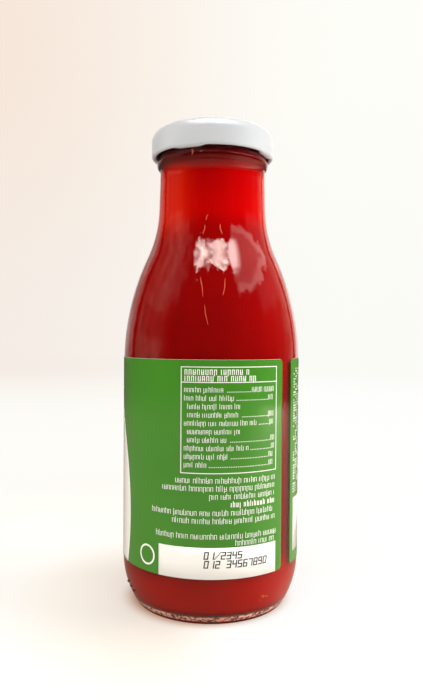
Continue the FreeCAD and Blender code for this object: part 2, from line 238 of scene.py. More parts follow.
# %% [markdown]
# ## What isn't round on the glass
#
# Four ridges on the finish hold the lid's lugs. The two halves of the mould leave a fine seam
# up the finish. The foot ring is stippled with small knurls, so that the hot bottle doesn't
# touch the belt along a full ring. All of these push the turned surface in or out a little, so
# they are written as smooth bumps over the turn angle and the height.

# %% Ridges, seam and knurls
FRONT = math.radians(270)
LUG_TURN = math.radians(247)
RIDGE_Z, RIDGE_RISE, RIDGE_PROUD, RIDGE_SPAN = 168.05, 1.3, 0.72, math.radians(55)
SEAM_TURN, SEAM_PROUD, SEAM_WIDTH, SEAM_MID = math.radians(-25), 0.16, 0.45, 170.2
KNURLS, KNURL_DEPTH, KNURL_MID = 100, 0.16, 0.9


def bump(x, half, soft):
    """1 where |x| is below half, falling smoothly to 0 at half + soft."""
    t = np.clip((half + soft - np.abs(x)) / soft, 0, 1)
    return t * t * (3 - 2 * t)


def turn_from(a, start, repeats=1):
    """Turn from the nearest of some evenly spaced directions, in radians."""
    step = 2 * np.pi / repeats
    return (a - start + step / 2) % step - step / 2


def press_glass(r, a, z):
    """Outward push: ridges and seam on the finish, and a wave round the foot."""
    outer = r > BORE_R + LIP_R + 0.3
    ridge = bump(turn_from(a, LUG_TURN, 4), RIDGE_SPAN * 0.42, RIDGE_SPAN * 0.08)
    ridge = ridge * bump(z - RIDGE_Z - RIDGE_RISE / 2, RIDGE_RISE * 0.15, RIDGE_RISE * 0.45)
    seam = bump(r * turn_from(a, FRONT + SEAM_TURN, 2), 0.05, SEAM_WIDTH)
    seam = seam * bump(z - SEAM_MID, 4.3, 1.2)
    knurl = 0.5 + 0.5 * np.sin(KNURLS * a)
    knurl = knurl * bump(z - KNURL_MID, 0.35, 0.75) * (r > FOOT_OUT - 0.1)
    push = outer * (RIDGE_PROUD * ridge + SEAM_PROUD * seam) - KNURL_DEPTH * knurl
    return r + push, z


bottle = turned("bottle_glass_clear", glass_profile, segments=400, press=press_glass)
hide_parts("bottle_glass")
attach(bottle, "root")

# %% [markdown]
# ## The ketchup
#
# The filling reaches 0.3 mm into the wall. Its top lies behind the lid's skirt.

# %% Filling
BITE = 0.3
LEVEL = fill_high[2]
filling = chain([(0.0, LEVEL)], [(BORE_R - 1.5, LEVEL)], hollow(LEVEL + 0.3, BITE))
ketchup = turned("ketchup_filling", filling[::-1], segments=256)
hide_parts("ketchup")
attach(ketchup, "root")

# %% [markdown]
# ### Painted glints
#
# A few thin bright orange ribbons on the sauce are painted glints, painted light that stands for
# glints in the glass. A ribbon is a flat bar that follows the sauce: its middle line runs straight
# from one turn and height to another, and it tapers as sqrt(sin pi t).

# %% Streaks
wet = filling[(filling[:, 0] > 15) & (filling[:, 1] > 6)][::-1]


def sauce_radius(z):
    """The sauce's outside radius at a height, read off its profile."""
    return np.interp(z, wet[:, 1], wet[:, 0])


RIBBON_STEPS = 9
RIBBON_POINTS = 4 * RIBBON_STEPS


def ribbons(name, paths, thick=0.1):
    """Tapered bars on the sauce, one for each (turn0, z0, turn1, z1, width), turns in degrees."""
    points, faces = [], []
    for turn0, z0, turn1, z1, width in paths:
        t = np.linspace(0, 1, RIBBON_STEPS)
        wander = 0.35 * width * np.sin(7 * t + turn0)
        z = z0 + (z1 - z0) * t
        r = sauce_radius(z)
        middle = FRONT + np.radians(turn0 + (turn1 - turn0) * t) + wander / r
        half = 0.5 * width * np.sqrt(np.sin(np.pi * (0.06 + 0.88 * t))) / r
        rings = []
        for side, out in ((-1, 0.05), (1, 0.05), (1, 0.05 + thick), (-1, 0.05 + thick)):
            a = middle + side * half
            rings.append(np.column_stack([(r + out) * np.cos(a), (r + out) * np.sin(a), z]))
        index = np.arange(RIBBON_POINTS).reshape(4, -1) + RIBBON_POINTS * len(points)
        points.append(np.concatenate(rings))
        after = np.roll(index, -1, 0)
        if z1 < z0:  # A path that runs down would turn its faces inwards.
            index, after = index[:, ::-1], after[:, ::-1]
        faces += quads(index[:, :-1], after[:, :-1], after[:, 1:], index[:, 1:])
        faces += [index[::-1, 0], index[:, -1]]
    return build_mesh(name, np.concatenate(points), faces, smooth=False)


# Painted glints, each a bright orange ribbon: (turn0, z0, turn1, z1, width).
PAINTED_GLINTS = (
    (-4.6, 141.9, -7.0, 139.9, 0.30),
    (-7.3, 138.1, -9.0, 134.5, 0.34),
    (7.9, 138.4, 9.8, 134.6, 0.34),
    (6.3, 131.1, 8.8, 124.3, 0.36),
    (-8.4, 119.0, -5.8, 112.3, 0.30),
    (10.2, 118.6, 8.0, 112.8, 0.30),
    (-5.0, 109.5, -2.4, 102.8, 0.26),
    (-22.8, 165.3, -22.8, 163.5, 0.7),
    (36.4, 9.4, 37.4, 8.5, 1.1),
    (39.6, 8.9, 40.4, 8.3, 0.9),
    (34.6, 8.0, 35.0, 7.6, 0.6),
)
glint_ribbons = ribbons("ketchup_painted_glints", PAINTED_GLINTS)
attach(glint_ribbons, "root")

# %% [markdown]
# ## The stippled ring of the base, and the mould's dots
#
# The thick clear foot of a bottle has a ring of fine hatching, which gathers light and shows as a
# pale copper band under the sauce. Rays would find it only by chance, so that light is painted on a
# thin ring of its own, just inside the glass, whose outline follows the heel. Above it the heel
# carries three small raised dots, the mould's own mark, coloured dark as painted shade.

# %% Hatched ring and dots
RING_LOW, RING_HIGH, RING_IN, RING_THICK = 0.85, 3.9, 0.2, 0.08
HATCHES, HATCH_DEPTH = 160, 0.05


def heel_radius(z):
    """The heel's outside radius at a height: its arc about the centre (HEEL_X, WALL_FOOT)."""
    return HEEL_X + np.sqrt(HEEL_R**2 - (z - WALL_FOOT) ** 2)


ring_z = np.linspace(RING_LOW, RING_HIGH, 20)
ring_out = np.column_stack([heel_radius(ring_z) - RING_IN, ring_z])
ring_back = ring_out[::-1] - [RING_THICK, 0]


def press_hatches(r, a, z):
    """Short slanting grooves: a wave in the turn that drifts a little with height."""
    return r - HATCH_DEPTH * (0.5 + 0.5 * np.sin(HATCHES * a + 2.0 * z)), z


DOT_TURNS, DOT_HEIGHTS, MOULD_DOT = (-69.5, -65.0, -60.8), (8.8, 7.9, 7.0), 0.5


def balls(name, centres, radius):
    """Small balls, each of rings of radius * sin t at heights radius * cos t and two poles."""
    t = np.linspace(0, np.pi, 9)[1:-1, None]
    a = np.linspace(0, 2 * np.pi, 13)[None, :-1]
    rings = np.stack([np.sin(t) * np.cos(a), np.sin(t) * np.sin(a), np.cos(t) + 0 * a], -1)
    ball = np.vstack([rings.reshape(-1, 3), [[0, 0, 1], [0, 0, -1]]]) * radius
    index = np.arange(rings[..., 0].size).reshape(rings.shape[:2])
    ahead = np.roll(index, -1, 1)
    top, foot = (np.full(a.size, len(ball) - k) for k in (2, 1))
    faces = quads(index[1:], ahead[1:], ahead[:-1], index[:-1])
    faces += list(np.stack([top, index[0], ahead[0]], -1))
    faces += list(np.stack([foot, ahead[-1], index[-1]], -1))
    faces = [face + len(ball) * k for k in range(len(centres)) for face in faces]
    return build_mesh(name, np.concatenate([ball + centre for centre in centres]), faces)


dot_centres = []
for turn, z in zip(DOT_TURNS, DOT_HEIGHTS, strict=True):
    a, r = FRONT + math.radians(turn), heel_radius(z) + 0.1
    dot_centres.append((r * math.cos(a), r * math.sin(a), z))
mould_dots = balls("base_mould_dots", dot_centres, MOULD_DOT)
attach(mould_dots, "root")

hatched = turned("base_hatching_painted_light", chain(ring_out, ring_back), segments=640, press=press_hatches)
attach(hatched, "root")

# %% [markdown]
# ## The lid
#
# A twist-off lid is one disc of tinplate, pressed into a cap with a sunk panel and a rolled rim.
# Four short stretches of the rim are squeezed inwards to make the lugs. The profile runs from
# the middle of the underside, down the inside, round the roll and back over the outside. A lug
# pulls the rim inwards and a little down, smoothly over its width.

# %% Pressed lid
CREST, RIM, SIDE = lid_high[2], lid_low[2], lid_high[0]
PLATE, CREST_R, ROLL_R = 0.3, 4.0, 0.85
PANEL_R, PANEL_DEPTH = 15.4, 0.8
BEND = 0.9
LUG_SPAN, LUG_REACH, LUG_DROP = math.radians(28), 1.35, 0.42
LUG_DENT, LUG_FADE = 0.25, 3.4
rim = RIM + 0.5

lid_profile = chain(
    [(0.0, CREST - PANEL_DEPTH - PLATE)],
    run(0.4, CREST - PANEL_DEPTH - PLATE, PANEL_R - 0.2, CREST - PANEL_DEPTH - PLATE, 6),
    run(PANEL_R + 0.8, CREST - PLATE, SIDE - CREST_R, CREST - PLATE, 4),
    arc(SIDE - CREST_R, CREST - CREST_R, CREST_R - PLATE, 90, 0, 8),
    run(SIDE - PLATE, CREST - CREST_R, SIDE - PLATE, rim + ROLL_R * 1.6, 6),
    arc(SIDE - ROLL_R, rim + ROLL_R, ROLL_R, 75, 360, 18),
    run(SIDE, rim + ROLL_R, SIDE - 0.05, CREST - CREST_R, 10),
    arc(SIDE - CREST_R - 0.05, CREST - CREST_R, CREST_R, 0, 90, 14),
    arc(PANEL_R + 1.3, CREST - BEND, BEND, 90, 135, 5),
    arc(PANEL_R - 0.6, CREST - PANEL_DEPTH + BEND, BEND, -45, -90, 5),
    run(PANEL_R - 1.2, CREST - PANEL_DEPTH, 0.4, CREST - PANEL_DEPTH, 10),
    [(0.0, CREST - PANEL_DEPTH)],
)


def press_lugs(r, a, z):
    """Each lug draws the rim in and down; the pull fades out up the skirt."""
    lug = bump(turn_from(a, LUG_TURN, 4), LUG_SPAN * 0.3, LUG_SPAN * 0.35)
    low = np.clip((rim + LUG_FADE - z) / LUG_FADE, 0, 1)
    low = low * low * (3 - 2 * low)
    inner = np.clip((SIDE - r) / (2 * ROLL_R), 0, 1)
    pull = LUG_DENT + (LUG_REACH - LUG_DENT) * inner
    return r - lug * low * pull, z - LUG_DROP * lug * low


cap = turned("lid_enamelled", lid_profile, segments=480, press=press_lugs)
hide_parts("lid")
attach(cap, "root")

# %% [markdown]
# ## The label's sheet
#
# The label is a long strip of coated paper with rounded corners, glued round the straight wall.
# Places on it are given as they would be on the printer's sheet: s is the length along the
# strip from the middle of the side with the table, and z the height. A sheet is a grid of s and
# z between two edges, laid on a cylinder, once for its face and once for its back.

# %% Curved sheets
LABEL_LOW, LABEL_HIGH = label_low[2], label_high[2]
PAPER_BACK, PAPER_FACE, INK_FACE, MARK_FACE = 33.02, 33.12, 33.15, 33.16
INK_BACK, FIELD_FACE = 33.10, 33.135
LABEL_END, LABEL_GAP, LABEL_CORNER = 28.1, 6.0, 1.5
STRIP = 2 * math.pi * WALL_R - LABEL_GAP


def on_wall(s, z, radius):
    """A place on the strip laid on a cylinder: its turn is s / wall radius, to the right."""
    turn = FRONT + s / WALL_R
    return np.stack([radius * np.cos(turn), radius * np.sin(turn), z], -1)


def curved_sheet(name, s, z, back, face):
    """A closed thin sheet over a grid of s and z: its face, its back and the edge between."""
    rows, columns = s.shape
    points = np.concatenate([on_wall(s, z, radius).reshape(-1, 3) for radius in (face, back)])
    index = np.arange(rows * columns).reshape(rows, columns)
    front = quads(index[:-1, :-1], index[:-1, 1:], index[1:, 1:], index[1:, :-1])
    behind = [corners[::-1] + rows * columns for corners in front]
    sides = [index[0, :], index[1:, -1], index[-1, -2::-1], index[-2:0:-1, 0]]
    border = np.concatenate(sides)
    after = np.roll(border, -1)
    edge = quads(border, border + rows * columns, after + rows * columns, after)
    return build_mesh(name, points, front + behind + edge)


def strip_grid(left, right, low, high, columns, rows, corner=0.0):
    """Grid of s and z between two edges. Rows near a rounded corner draw in by the circle's sag."""
    z = np.linspace(low, high, rows)
    if corner:
        t = np.radians(np.linspace(0, 90, 8))
        bend = corner * (1 - np.cos(t))
        z = np.concatenate([low + bend, np.linspace(low + corner, high - corner, rows)[1:-1]])
        z = np.concatenate([z, high - bend[::-1]])
    near = np.clip(corner - np.minimum(z - low, high - z), 0, corner)
    inset = corner - np.sqrt(corner**2 - near**2)
    t = np.linspace(0, 1, columns)[None, :]
    s = (1 - t) * (left + inset)[:, None] + t * (right - inset)[:, None]
    return s, np.repeat(z[:, None], columns, axis=1)


LABEL_START = LABEL_END - STRIP
sheet_grid = strip_grid(LABEL_START, LABEL_END, LABEL_LOW, LABEL_HIGH, 260, 12, LABEL_CORNER)
label = curved_sheet("label_sheet", *sheet_grid, PAPER_BACK, PAPER_FACE)
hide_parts("label")
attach(label, "root")

# %% [markdown]
# ## Print on the label
#
# The print is ink, so it has next to no thickness, but it is still made as thin plates on the
# sheet: plates stay sharp at any distance, and each colour is a piece of its own. No words are
# set. Where a real pack has lines of small type, there are rows of short strokes instead, as a
# designer sets them in a draft. All strokes of a block are one mesh, eight points to a stroke.

# %% Strokes and fields of ink
def ink(name, boxes, back=INK_BACK, face=INK_FACE):
    """Thin plates from rows of (s0, s1, z0, z1); each plate has eight corners and six faces."""
    boxes = np.asarray(boxes, float)
    s = boxes[:, [0, 1, 1, 0]]
    z = boxes[:, [2, 2, 3, 3]]
    corners = np.concatenate([on_wall(s, z, back), on_wall(s, z, face)], axis=1)
    sides = [[3, 2, 1, 0], [4, 5, 6, 7], [0, 1, 5, 4], [1, 2, 6, 5], [2, 3, 7, 6], [3, 0, 4, 7]]
    faces = np.arange(len(boxes))[:, None, None] * 8 + np.array(sides)[None]
    return build_mesh(name, corners.reshape(-1, 3), list(faces.reshape(-1, 4)), smooth=False)


PLATE_LENGTH = 1.0


def split(s0, s1, z0, z1):
    """One long plate cut into short ones, so that it follows the curve of the wall."""
    count = math.ceil((s1 - s0) / PLATE_LENGTH)
    edges = np.linspace(s0, s1, count + 1)
    flat = np.full(count, 1.0)
    return np.column_stack([edges[:-1], edges[1:], z0 * flat, z1 * flat])


SMALL_LETTER, DESCENT, WORD_GAP, NARROW_LETTER, BAR = 0.74, 0.24, 0.62, 0.6, 0.7
TWO_STEMS, FOOT_BAR, MIDDLE_BAR_FROM, MIDDLE_BAR_TO = 0.72, 0.45, 0.42, 0.56


def strokes(draw, s0, s1, z, height, stem, pitch, tall_share=0.3):
    """A line of mock type from s0 to s1: words of upright stems, some tall, some joined.

    A letter is one or two stems, and a bar at its foot or its head joins the two. Words have
    three to eight letters. The random kind of a letter says how it is made.
    """
    boxes = []
    s = s0
    while s < s1 - pitch * 0.8:
        for _ in range(int(draw.integers(3, 9))):
            if s > s1 - pitch * 0.8:
                break
            tall = height if draw.random() < tall_share else SMALL_LETTER * height
            drop = DESCENT * height if draw.random() < 0.1 else 0.0
            end = s + pitch - 1.5 * stem
            kind = draw.random()
            boxes.append((s, s + stem, z - drop, z + tall))
            if kind < TWO_STEMS:
                top = tall if tall_share > 0.9 else SMALL_LETTER * height
                boxes.append((end - stem, end, z, z + top))
                bar = top - BAR * stem if kind < FOOT_BAR else 0.0
                boxes.append((s + stem, end - stem, z + bar, z + bar + BAR * stem))
            if MIDDLE_BAR_FROM < kind < MIDDLE_BAR_TO:
                middle = z + 0.33 * height
                boxes.append((s + stem, end - stem, middle, middle + BAR * stem))
            s += pitch if kind < TWO_STEMS else NARROW_LETTER * pitch
        s += pitch * WORD_GAP
    return boxes


draw = np.random.default_rng(7)
TABLE_S0, TABLE_S1, TABLE_LOW, TABLE_HIGH, HEAD_LINE = -10.3, 24.9, 53.0, 88.9, 83.5
LINE = 0.28
frame_boxes = np.vstack(
    [
        split(TABLE_S0, TABLE_S1, TABLE_LOW, TABLE_LOW + LINE),
        split(TABLE_S0, TABLE_S1, HEAD_LINE, HEAD_LINE + LINE),
        split(TABLE_S0, TABLE_S1, TABLE_HIGH - LINE, TABLE_HIGH),
        [(TABLE_S0, TABLE_S0 + LINE, TABLE_LOW, TABLE_HIGH)],
        [(TABLE_S1 - LINE, TABLE_S1, TABLE_LOW, TABLE_HIGH)],
    ]
)
table_frame = ink("label_table_frame", frame_boxes)

# %% Rows of the table
ROW_TOP, ROW_STEP, ROWS = 80.3, 2.8, 10
INDENTED, NO_VALUE = (2, 3, 5, 6), (2, 5)
NAME_ENDS = (5.0, 8.2, 11.0, 10.2, 16.6, 10.6, 6.2, 13.4, 6.4, -1.0)
VALUE_STARTS = (14.2, 20.9, 0, 20.9, 21.4, 0, 22.0, 22.4, 21.2, 21.2)
HEADER_TYPE, NAME_TYPE, VALUE_TYPE = (1.8, 0.29, 1.42), (1.85, 0.17, 1.06), (1.75, 0.16, 1.0)
NAME_START, INDENT, VALUE_END = -9.1, 1.1, 23.9
LEADER_STEP, LEADER_DOT, LEADER_TALL = 0.62, 0.3, 0.26

table_boxes = []
for z, width in ((86.15, 14.6), (84.0, 17.0)):
    table_boxes += strokes(draw, -9.0, width, z, *HEADER_TYPE, tall_share=1.0)
for row in range(ROWS):
    z = ROW_TOP - row * ROW_STEP
    start = NAME_START + INDENT * (row in INDENTED)
    table_boxes += strokes(draw, start, NAME_ENDS[row], z, *NAME_TYPE)
    if row in NO_VALUE:
        continue
    dots = np.arange(NAME_ENDS[row] + 0.4, VALUE_STARTS[row] - 0.3, LEADER_STEP)
    table_boxes += [(s, s + LEADER_DOT, z, z + LEADER_TALL) for s in dots]
    table_boxes += strokes(draw, VALUE_STARTS[row], VALUE_END, z, *VALUE_TYPE, tall_share=1.0)
table_print = ink("label_table_print", table_boxes)

# %% Lines of small print, the dated patch and its marks
SMALL_PRINT = (
    (49.8, -12.1, 0.21),
    (47.1, -17.1, 0.21),
    (44.4, -0.4, 0.21),
    (41.7, 6.9, 0.32),
    (38.9, -21.4, 0.21),
    (36.2, -13.2, 0.21),
    (31.0, -19.6, 0.20),
    (28.6, 8.6, 0.20),
)
PRINT_END, PRINT_TALL, PRINT_PITCH, PRINT_WEIGHT = 25.0, 2.0, 1.2, 0.88
small_boxes = []
for z, start, stem in SMALL_PRINT:
    stem *= PRINT_WEIGHT
    small_boxes += strokes(draw, start, PRINT_END, z, PRINT_TALL, stem, PRINT_PITCH)
small_print = ink("label_small_print", small_boxes)

PATCH_S0, PATCH_S1, PATCH_HIGH = -18.5, 24.9, 28.1
patch_grid = strip_grid(PATCH_S0, PATCH_S1, LABEL_LOW, PATCH_HIGH, 45, 3)
date_patch = curved_sheet("label_date_patch", *patch_grid, INK_BACK, FIELD_FACE)

DOT, MARK_WIDE, MARK_TALL, MARK_LEAN, MARK_STEP = 0.37, 1.2, 2.25, 0.14, 1.92
SEGMENT_ENDS = {
    "a": (0, 2, 1, 2),
    "b": (1, 1, 1, 2),
    "c": (1, 0, 1, 1),
    "d": (0, 0, 1, 0),
    "e": (0, 0, 0, 1),
    "f": (0, 1, 0, 2),
    "g": (0, 1, 1, 1),
    "/": (-0.2, 0, 1.2, 2),
}
STROKES_OF_DIGIT = "abcdef bc abged abgcd fgbc afgcd afgecd abc abcdefg abcfgd".split()
DIGITS = dict(zip("0123456789", STROKES_OF_DIGIT, strict=True)) | {"/": "/", " ": ""}


def dotted_number(number, s0, z0):
    """A coder's number: dots at even steps along the segments that make up each plain digit."""
    boxes = []
    for place, digit in enumerate(number):
        for segment in DIGITS[digit]:
            x0, y0, x1, y1 = SEGMENT_ENDS[segment]
            t = np.linspace(0, 1, 6)
            up = (y0 + (y1 - y0) * t) * MARK_TALL / 2
            s = s0 + place * MARK_STEP + (x0 + (x1 - x0) * t) * MARK_WIDE + up * MARK_LEAN
            boxes += list(zip(s, s + DOT, z0 + up, z0 + up + DOT, strict=True))
    return boxes


MARK_START, MARK_LINES = -2.2, (("01/2345", 24.2), ("012 34567890", 21.2))
date_boxes = []
for number, z in MARK_LINES:
    date_boxes += dotted_number(number, MARK_START, z)
date_marks = ink("label_date_marks", date_boxes, PAPER_FACE, MARK_FACE)

# %% The ring, the column of marks and the white block near the label's end
RING_SIDES = 48


def ring_sheet(name, s, z, inner, outer):
    """A flat ring: both circles are s + r cos t, z + r sin t, with t round the full turn."""
    t = np.linspace(0, 2 * np.pi, RING_SIDES + 1)[:-1]
    radii = np.array([inner, outer])
    ring_s = s + radii[:, None] * np.cos(t)
    ring_z = z + radii[:, None] * np.sin(t)
    layers = [on_wall(ring_s, ring_z, radius) for radius in (INK_FACE, INK_BACK)]
    points = np.concatenate(layers).reshape(-1, 3)
    index = np.arange(RING_SIDES)
    loops = [index + RING_SIDES * k for k in (0, 1, 3, 2)]
    faces = []
    for this, after in zip(loops, loops[1:] + loops[:1], strict=True):
        faces += quads(this, after, np.roll(after, -1), np.roll(this, -1))
    return build_mesh(name, points, faces, smooth=False)


ring = ring_sheet("label_ring", s=-23.8, z=23.3, inner=2.95, outer=3.6)

SIDE_START, SIDE_END, SIDE_LOW, SIDE_HIGH, COLUMN_STEP, ROW_GAP = 37.0, 57.6, 42.6, 87.5, 2.2, 0.95
side_boxes = []
for s in np.arange(SIDE_START, SIDE_END, COLUMN_STEP):
    heights = np.arange(SIDE_LOW, SIDE_HIGH, ROW_GAP)
    keep = draw.random(len(heights)) < 0.7
    wide = 0.9 + 0.8 * (draw.random(len(heights)) < 0.4)
    side_boxes += [(s, s + w, z, z + 0.55) for z, w in zip(heights[keep], wide[keep], strict=True)]
side_print = ink("label_side_print", side_boxes)
BLOCK_START, BLOCK_END, BLOCK_LOW, BLOCK_HIGH = 37.2, 62.0, 21.4, 40.6
side_grid = strip_grid(BLOCK_START, BLOCK_END, BLOCK_LOW, BLOCK_HIGH, 26, 3)
side_block = curved_sheet("label_side_block", *side_grid, INK_BACK, FIELD_FACE)

# %% [markdown]
# ## The front of the label
#
# The side that faces away carries the picture side of the pack. It gets a plain white oval field
# with a simple red fruit, a green crown and three bars, which name nothing. The paper is white
# inside, so its cut edge shows along the top as a fine pale line.

# %% White field, fruit and bars
CUT = 0.05
PANEL_MID, PANEL_HALF, PANEL_WAIST, PANEL_TALL = -77.6, 43.2, 35.5, 56.2


def oval_grid(s, z, half, tall, low=-0.995, high=0.995, rows=60, columns=60):
    """Grid inside an ellipse: heights z + tall sin t, widths half cos t, sin t from low to high."""
    t = np.linspace(math.asin(low), math.asin(high), rows)[:, None]
    across = np.linspace(-1, 1, columns)[None, :]
    return s + half * np.cos(t) * across, z + tall * np.sin(t) + 0 * across


panel_low, panel_high = ((z - PANEL_WAIST) / PANEL_TALL for z in (LABEL_LOW, LABEL_HIGH - CUT))
panel_grid = oval_grid(
    PANEL_MID, PANEL_WAIST, PANEL_HALF, PANEL_TALL, panel_low, panel_high, 100, 100
)
panel = curved_sheet("label_front_panel", *panel_grid, INK_BACK, FIELD_FACE)

FRUIT_MID, FRUIT_HALF, FRUIT_TALL, CROWN_Z, LEAVES = 42.0, 15.4, 13.8, 55.2, 5
fruit_grid = oval_grid(PANEL_MID, FRUIT_MID, FRUIT_HALF, FRUIT_TALL)
fruit = curved_sheet("label_front_fruit", *fruit_grid, PAPER_FACE, INK_FACE)
crown_boxes = []
for turn in np.linspace(-0.9, 0.9, LEAVES):
    step = np.arange(8)
    s = PANEL_MID + step * 1.15 * math.sin(turn) * 1.2
    z = CROWN_Z + step * 0.75 * math.cos(turn)
    half = 1.0 - 0.11 * step
    crown_boxes += list(zip(s - half, s + half, z - 0.6, z + 0.5, strict=True))
crown = ink("label_front_crown", crown_boxes, PAPER_FACE, MARK_FACE)
BARS = ((24.0, 71.0, 6.0), (15.0, 65.5, 2.6), (18.0, 23.0, 2.0))
bar_boxes = np.vstack([split(PANEL_MID - w, PANEL_MID + w, z, z + h) for w, z, h in BARS])
bars = ink("label_front_bars", bar_boxes, PAPER_FACE, INK_FACE)

edge_ends = (LABEL_START + LABEL_CORNER, LABEL_END - LABEL_CORNER)
cut_edge = ink("label_cut_edge", split(*edge_ends, LABEL_HIGH - CUT, LABEL_HIGH))

white_ink = [cut_edge, table_frame, table_print, small_print, date_patch, ring]
white_ink += [side_print, side_block, panel]
for piece in [*white_ink, date_marks, fruit, crown, bars]:
    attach(piece, "root")

# %% [markdown]
# ## Materials
#
# A few helpers come first. A node takes its inputs by name or number, each a plain value or the
# socket of another node, and the nodes lie in rows in the order in which they are added. A
# material is a function that adds its nodes to a tree and gives back the shader.

# %% Node helpers
NODES_IN_ROW, NODE_WIDE, NODE_TALL = 8, 250, 350
WHITE = (1.0, 1.0, 1.0, 1.0)


def wire(tree, value, socket):
    """Join the socket of another node to this one, or write a plain value on it."""
    if isinstance(value, bpy.types.NodeSocket):
        tree.links.new(value, socket)
    else:
        socket.default_value = value


def add(tree, kind, inputs=None, **settings):
    """A new node in the next place of its row, with its settings and inputs filled in."""
    row, column = divmod(len(tree.nodes), NODES_IN_ROW)
    node = tree.nodes.new(kind)
    node.location = (NODE_WIDE * column, -NODE_TALL * row)
    for key, value in settings.items():
        setattr(node, key, value)
    for key, value in (inputs or {}).items():
        wire(tree, value, node.inputs[key])
    return node


def maths(tree, operation, *values):
    """One Math node on sockets or plain numbers."""
    return add(tree, "ShaderNodeMath", dict(enumerate(values)), operation=operation).outputs[0]


def vector_maths(tree, operation, *values):
    """One Vector Math node; its answer is a length or a vector."""
    node = add(tree, "ShaderNodeVectorMath", dict(enumerate(values)), operation=operation)
    return node.outputs["Value" if operation == "LENGTH" else "Vector"]


def product(tree, first, *others):
    """All the values multiplied."""
    for other in others:
        first = maths(tree, "MULTIPLY", first, other)
    return first


def total(tree, first, *others):
    """All the values added up."""
    for other in others:
        first = maths(tree, "ADD", first, other)
    return first


def between(tree, value, low, high, shape="SMOOTHSTEP"):
    """0 at low and 1 at high, with a smooth step or a straight line between them."""
    inputs = {"Value": value, "From Min": low, "From Max": high}
    return add(tree, "ShaderNodeMapRange", inputs, interpolation_type=shape).outputs["Result"]


def mixed(tree, share, first, second, blend="MIX"):
    """A colour between two others, or the two blended in another way."""
    inputs = {"Factor": share, "A": first, "B": second}
    return add(tree, "ShaderNodeMix", inputs, data_type="RGBA", blend_type=blend).outputs["Result"]


def mixed_shaders(tree, share, first, second):
    """The first shader where share is 0 and the second where it is 1."""
    return add(tree, "ShaderNodeMixShader", {0: share, 1: first, 2: second}).outputs["Shader"]


def noise(tree, vector, scale, detail, roughness):
    """Cloudy noise from 0 to 1."""
    inputs = {"Vector": vector, "Scale": scale, "Detail": detail, "Roughness": roughness}
    return add(tree, "ShaderNodeTexNoise", inputs).outputs["Fac"]


def color_ramp(tree, share, stops):
    """A colour that runs through the stops, each of them (share, (red, green, blue))."""
    ramp = add(tree, "ShaderNodeValToRGB", {"Fac": share})
    elements = ramp.color_ramp.elements
    while len(elements) < len(stops):
        elements.new(0.5)
    for element, (position, color) in zip(elements, stops, strict=True):
        element.position = position
        element.color = (*color, 1)
    return ramp.outputs["Color"]


def own_point(tree):
    """The point's place on the piece, in metres."""
    return add(tree, "ShaderNodeTexCoord").outputs["Object"]


def axes_of(tree, vector):
    """X, Y and Z of a vector."""
    return add(tree, "ShaderNodeSeparateXYZ", {"Vector": vector}).outputs


def seen_directly(tree):
    """1 for rays from the camera and for rays that come through glass, and all the rays' kinds."""
    rays = add(tree, "ShaderNodeLightPath").outputs
    return maths(tree, "MAXIMUM", rays["Is Camera Ray"], rays["Is Transmission Ray"]), rays


def principled(tree, **inputs):
    """A Principled shader, with _ for a space in the names of its inputs."""
    named = {key.replace("_", " "): value for key, value in inputs.items()}
    return add(tree, "ShaderNodeBsdfPrincipled", named).outputs["BSDF"]


def glowing(tree, color):
    """A surface that gives off this colour."""
    return add(tree, "ShaderNodeEmission", {"Color": color}).outputs["Emission"]


def srgb(red, green, blue):
    """A colour as seen on a screen, 0 to 255, as the linear one that the shader wants."""
    c = np.array([red, green, blue]) / 255
    linear = np.where(c <= 0.04045, c / 12.92, ((c + 0.055) / 1.055) ** 2.4)
    return (*linear.tolist(), 1.0)


def paint(pieces, name, build, *values):
    """A new material on these pieces: build(tree, *values) adds its nodes and gives its shader."""
    material = bpy.data.materials.new(name)
    material.use_nodes = True
    tree = material.node_tree
    tree.nodes.clear()
    add(tree, "ShaderNodeOutputMaterial", {"Surface": build(tree, *values)})
    for piece in pieces:
        piece.data.materials.clear()
        piece.data.materials.append(material)
    print(name, "has", len(tree.nodes), "nodes and is on", len(pieces), "pieces")


# %% [markdown]
# ### One shared effect
#
# Ketchup, paper and enamel are none of them one flat colour. They share one group, a soft mottle
# of two colours, and each uses it with its own size and strength. The height that it gives makes
# the slow waves in the glass and the grain of the paper.

# %% The shared mottle
mottle = bpy.data.node_groups.new("soft_mottle", "ShaderNodeTree")
for socket_name in ("Color", "Tint"):
    mottle.interface.new_socket(socket_name, in_out="INPUT", socket_type="NodeSocketColor")
for socket_name in ("Scale", "Amount"):
    mottle.interface.new_socket(socket_name, in_out="INPUT", socket_type="NodeSocketFloat")
mottle.interface.new_socket("Color", in_out="OUTPUT", socket_type="NodeSocketColor")
mottle.interface.new_socket("Height", in_out="OUTPUT", socket_type="NodeSocketFloat")
given = add(mottle, "NodeGroupInput").outputs
cloud = noise(mottle, own_point(mottle), given["Scale"], 4.0, 0.6)
tint_share = maths(mottle, "MULTIPLY", cloud, given["Amount"])
two_tone = mixed(mottle, tint_share, given["Color"], given["Tint"])
add(mottle, "NodeGroupOutput", {"Color": two_tone, "Height": cloud})
print("soft_mottle has", len(mottle.nodes), "nodes")


def mottled(tree, color, tint, scale, amount, output="Color"):
    """The shared group in a material, with that material's own values."""
    inputs = {"Color": color, "Tint": tint, "Scale": scale, "Amount": amount}
    return add(tree, "ShaderNodeGroup", inputs, node_tree=mottle).outputs[output]


def uneven(tree, scale, strength, distance, **under):
    """A normal from the shared height, over another normal where one is given."""
    height = mottled(tree, WHITE, WHITE, scale, 1.0, "Height")
    inputs = {"Strength": strength, "Distance": distance, "Height": height}
    return add(tree, "ShaderNodeBump", {**inputs, **under}).outputs["Normal"]


# %% [markdown]
# ### Clear glass
#
# Lamps don't shine through a refracting surface in a path tracer without a great many rays. The
# usual way round is to let shadow rays pass: they see a transparent surface, and all other rays
# see glass. Moulded glass is never quite flat, so its skin has slow waves with finer ones on top.

